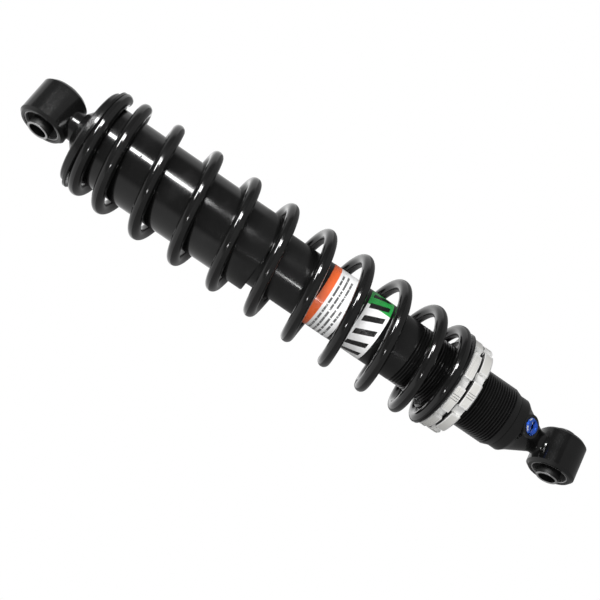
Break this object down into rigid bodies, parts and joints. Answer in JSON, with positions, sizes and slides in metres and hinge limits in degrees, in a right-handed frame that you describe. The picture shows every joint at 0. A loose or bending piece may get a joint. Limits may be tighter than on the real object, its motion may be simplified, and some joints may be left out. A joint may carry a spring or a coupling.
{
  "type": "coil-over rear shock absorber",
  "caption": "Coil-over rear shock with a rubber-bushed eye at each end, a threaded damper body with preload rings, a black spring and a dust shroud.",
  "frame": {"origin": "centre of the bolt hole in the lower eye", "axes": "+Z along the shaft to the upper eye; +X along both bolt holes"},
  "size_m": [0.08, 0.08, 0.4492],
  "materials": {
    "black_forging": "satin black",
    "black_tube": "gloss black anodised",
    "black_cap": "satin black anodised",
    "black_spring": "gloss black",
    "black_seat": "semi-gloss black",
    "shroud_plastic": "gloss black",
    "bright_ring": "machined, clear anodised",
    "blue_anodised": "blue anodised",
    "shell_steel": "turned",
    "sleeve_steel": "zinc plated",
    "bush_rubber": "matte",
    "seal_rubber": "matte",
    "shaft_chrome": "polished",
    "inner_steel": "turned",
    "shim_steel": "ground",
    "inner_alloy": "turned",
    "bronze": "sintered",
    "band_plastic": "filled low-friction plastic",
    "bump_rubber": "matte",
    "label_film": "printed film"
  },
  "bodies": {
    "damper_body": {"lower_end_cap": "black_forging", "cap_o_ring": "seal_rubber", "lower_eye_shell": "shell_steel", "lower_eye_rubber": "bush_rubber", "adjuster_o_ring": "seal_rubber", "damper_tube": "black_tube", "pressure_tube": "inner_steel", "base_valve_body": "inner_alloy", "base_valve_shim": "shim_steel", "base_valve_bolt": "inner_steel", "rod_guide": "inner_alloy", "guide_bush": "bronze", "shaft_seal": "seal_rubber", "rod_guide_o_ring": "seal_rubber", "rod_guide_circlip": "inner_steel", "dust_cap": "black_cap", "shaft_wiper": "seal_rubber", "upper_label": "label_film", "lower_label": "label_film", "coil_spring": "black_spring"},
    "lower_sleeve": {"lower_sleeve": "sleeve_steel"},
    "adjuster_dial": {"adjuster_dial": "blue_anodised"},
    "adjuster_needle": {"adjuster_needle": "shim_steel"},
    "perch": {"spring_perch": "black_seat"},
    "preload_ring": {"preload_ring": "bright_ring"},
    "lock_ring": {"lock_ring": "bright_ring"},
    "upper_seat": {"spring_retainer": "black_seat", "dust_shroud": "shroud_plastic"},
    "shaft": {"shaft": "shaft_chrome", "top_out_bumper": "bump_rubber", "rebound_shims": "shim_steel", "piston": "inner_alloy", "piston_band": "band_plastic", "compression_shims": "shim_steel", "piston_nut": "inner_steel", "bump_stop": "bump_rubber", "bump_stop_cup": "inner_steel", "jam_nut": "inner_steel", "upper_eye": "black_forging", "upper_eye_shell": "shell_steel", "upper_eye_rubber": "bush_rubber"},
    "upper_sleeve": {"upper_sleeve": "sleeve_steel"}
  },
  "joints": [
    {"name": "stroke", "type": "slide", "parent": "damper_body", "child": "upper_seat", "axis": [0, 0, 1], "range_m": [-0.088, 0], "stiffness_N_per_m": 17700, "springref_m": 0.004, "deforming": ["coil_spring"]},
    {"name": "shaft_swivel", "type": "hinge", "parent": "upper_seat", "child": "shaft", "pos_m": [0, 0, 0.385], "axis": [0, 0, 1], "continuous": true},
    {"name": "upper_bush_twist", "type": "hinge", "parent": "shaft", "child": "upper_sleeve", "pos_m": [0, 0, 0.415], "axis": [1, 0, 0], "range_deg": [-18, 18], "stiffness_Nm_per_rad": 60},
    {"name": "lower_bush_twist", "type": "hinge", "parent": "damper_body", "child": "lower_sleeve", "pos_m": [0, 0, 0], "axis": [1, 0, 0], "range_deg": [-18, 18], "stiffness_Nm_per_rad": 60},
    {"name": "preload_travel", "type": "slide", "parent": "damper_body", "child": "perch", "axis": [0, 0, 1], "range_m": [-0.00601, 0.00001]},
    {"name": "preload_turn", "type": "hinge", "parent": "perch", "child": "preload_ring", "pos_m": [0, 0, 0.093], "axis": [0, 0, 1], "range_deg": [-1080, 0]},
    {"name": "lock_turn", "type": "hinge", "parent": "perch", "child": "lock_ring", "pos_m": [0, 0, 0.085], "axis": [0, 0, 1], "range_deg": [-1081, 1]},
    {"name": "adjuster_turn", "type": "hinge", "parent": "damper_body", "child": "adjuster_dial", "pos_m": [0, 0, 0.0413], "axis": [-0.0311, -0.8905, -0.454], "range_deg": [-721, 1]},
    {"name": "needle_travel", "type": "slide", "parent": "damper_body", "child": "adjuster_needle", "axis": [-0.0311, -0.8905, -0.454], "range_m": [-0.0015, 0]}
  ],
  "couplings": [
    {"joint": "preload_travel", "follows": "preload_turn", "m_per_rad": 0.00031831},
    {"joint": "lock_turn", "follows": "preload_turn", "ratio": 1},
    {"joint": "adjuster_turn", "follows": "needle_travel", "rad_per_m": 8377.6}
  ]
}
